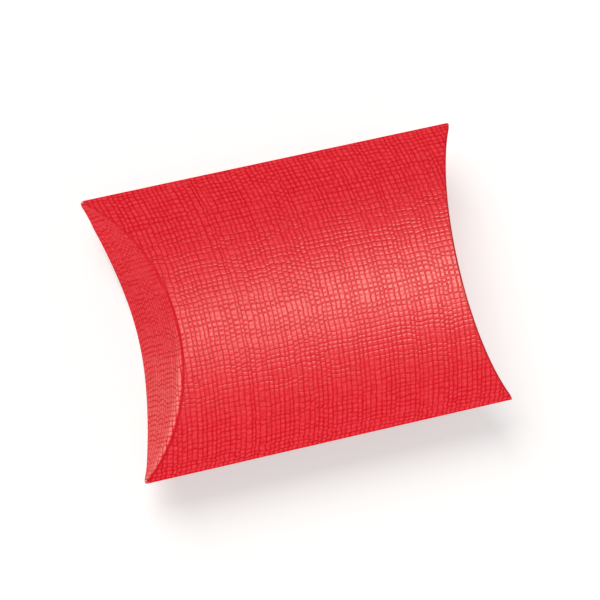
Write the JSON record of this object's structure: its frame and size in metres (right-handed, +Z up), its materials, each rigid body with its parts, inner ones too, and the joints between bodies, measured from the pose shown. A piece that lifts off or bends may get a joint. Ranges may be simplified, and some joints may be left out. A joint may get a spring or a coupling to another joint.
{
  "type": "pillow box",
  "caption": "Small pillow-shaped gift box of linen-embossed red board, with curved creases and hinged flaps that close both ends.",
  "frame": {"origin": "on the floor under the middle of the box, which lies on the crown of its back panel", "axes": "+X along the box's length, from one pair of end flaps to the other; +Y across the width, towards the plain side fold; +Z up through the depth, towards the front panel"},
  "size_m": [0.1006, 0.07, 0.0256],
  "materials": {
    "embossed_board": "satin red face with a pressed linen weave, off-white reverse",
    "adhesive": "clear dried glue"
  },
  "bodies": {
    "box": {"front_panel": "embossed_board", "back_panel": "embossed_board", "side_fold": "embossed_board", "glue_flap": "embossed_board", "glue_line": "adhesive", "right_outer_crease": "embossed_board", "right_inner_crease": "embossed_board", "left_outer_crease": "embossed_board", "left_inner_crease": "embossed_board"},
    "right_outer": {"right_outer_flap": "embossed_board"},
    "right_inner": {"right_inner_flap": "embossed_board"},
    "left_outer": {"left_outer_flap": "embossed_board"},
    "left_inner": {"left_inner_flap": "embossed_board"}
  },
  "joints": [
    {"name": "right_outer_flap_open", "type": "hinge", "parent": "box", "child": "right_outer", "pos_m": [0.03777, 0, 0.0249], "axis": [0, -1, 0], "range_deg": [0, 90], "deforming": ["right_outer_crease"]},
    {"name": "right_inner_flap_open", "type": "hinge", "parent": "box", "child": "right_inner", "pos_m": [0.037, 0, 0.0007], "axis": [0, 1, 0], "range_deg": [0, 90], "deforming": ["right_inner_crease"]},
    {"name": "left_outer_flap_open", "type": "hinge", "parent": "box", "child": "left_outer", "pos_m": [-0.03777, 0, 0.0249], "axis": [0, 1, 0], "range_deg": [0, 90], "deforming": ["left_outer_crease"]},
    {"name": "left_inner_flap_open", "type": "hinge", "parent": "box", "child": "left_inner", "pos_m": [-0.037, 0, 0.0007], "axis": [0, -1, 0], "range_deg": [0, 90], "deforming": ["left_inner_crease"]}
  ],
  "couplings": [
    {"joint": "right_inner_flap_open", "follows": "right_outer_flap_open", "ratio": 1},
    {"joint": "left_inner_flap_open", "follows": "left_outer_flap_open", "ratio": 1}
  ]
}
